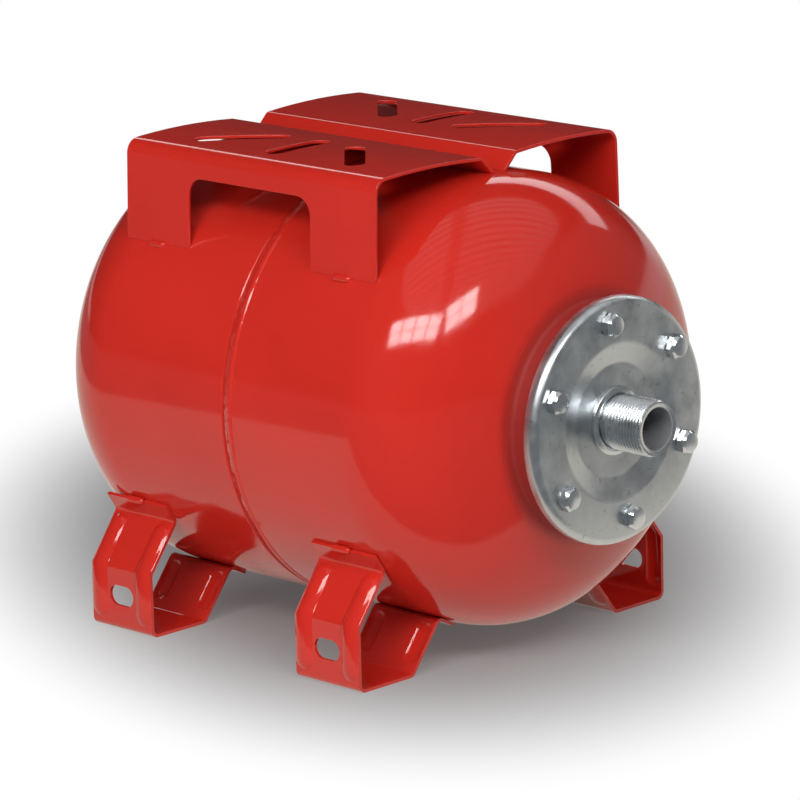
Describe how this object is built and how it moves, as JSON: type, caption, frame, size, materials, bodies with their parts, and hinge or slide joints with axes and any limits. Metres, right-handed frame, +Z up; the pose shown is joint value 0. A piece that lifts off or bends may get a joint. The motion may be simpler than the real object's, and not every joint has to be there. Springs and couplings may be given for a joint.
{
  "type": "horizontal diaphragm pressure tank",
  "caption": "Horizontal steel membrane pressure tank on feet with slotted brackets for a pump on top and a flanged threaded water nipple at one end.",
  "frame": {"origin": "on the floor, under the middle of the overall length and of the width", "axes": "+X along the vessel's axis towards the water flange, +Y to the left seen from the rear, +Z up"},
  "size_m": [0.431, 0.2714, 0.2975],
  "materials": {
    "red_paint": "smooth glossy powder coat",
    "zinc_plate": "bright zinc plating",
    "bare_steel": "plain turned steel",
    "black_rubber": "moulded matt rubber",
    "valve_brass": "turned brass",
    "grey_plastic": "moulded plastic with a fine grain"
  },
  "bodies": {
    "root": {"front_shell": "red_paint", "rear_shell": "red_paint", "seam_weld": "red_paint", "mouth_ring": "bare_steel", "membrane": "black_rubber", "counter_flange": "zinc_plate", "water_nipple": "zinc_plate", "flange_bolts": "zinc_plate", "left_pump_bracket": "red_paint", "right_pump_bracket": "red_paint", "front_left_leg_weld": "red_paint", "rear_left_leg_weld": "red_paint", "front_right_leg_weld": "red_paint", "rear_right_leg_weld": "red_paint", "front_left_foot": "red_paint", "rear_left_foot": "red_paint", "front_right_foot": "red_paint", "rear_right_foot": "red_paint", "front_left_foot_welds": "red_paint", "rear_left_foot_welds": "red_paint", "front_right_foot_welds": "red_paint", "rear_right_foot_welds": "red_paint", "valve_boss": "bare_steel", "air_valve": "valve_brass", "valve_core": "valve_brass", "valve_guard": "grey_plastic"}
  },
  "joints": []
}
